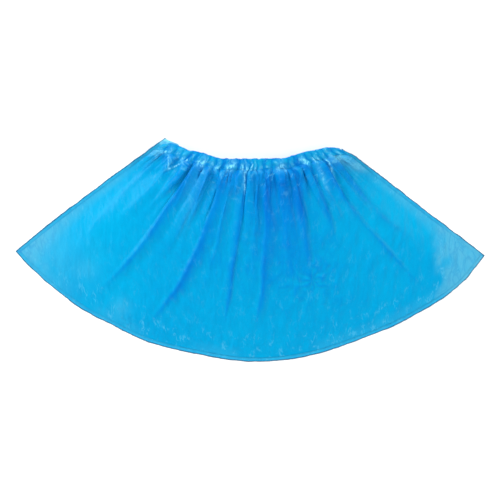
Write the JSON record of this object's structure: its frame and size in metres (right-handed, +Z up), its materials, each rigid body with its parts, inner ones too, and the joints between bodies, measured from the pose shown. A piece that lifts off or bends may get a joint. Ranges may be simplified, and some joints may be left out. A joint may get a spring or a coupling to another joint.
{
  "type": "shoe cover",
  "caption": "Disposable thin film shoe cover laid flat: a fan-shaped pouch with welded edges and an elastic gathered mouth that a shod foot goes into.",
  "frame": {"origin": "on the surface that the cover lies on, under the middle of its bounding box", "axes": "+X along the length to the picture's right, +Y from the curved bottom towards the mouth, +Z up, away from the surface"},
  "size_m": [0.359, 0.1712, 0.0165],
  "materials": {
    "blue_film": "thin, soft, slightly crinkled film",
    "hem_film": "folded film, gathered",
    "welded_film": "heat-welded film edge",
    "elastic": "matt"
  },
  "bodies": {
    "root": {"lower_panel": "blue_film", "upper_panel": "blue_film", "lower_hem": "hem_film", "upper_hem": "hem_film", "lower_elastic": "elastic", "upper_elastic": "elastic", "left_weld": "welded_film", "right_weld": "welded_film", "bottom_weld": "welded_film"}
  },
  "joints": []
}
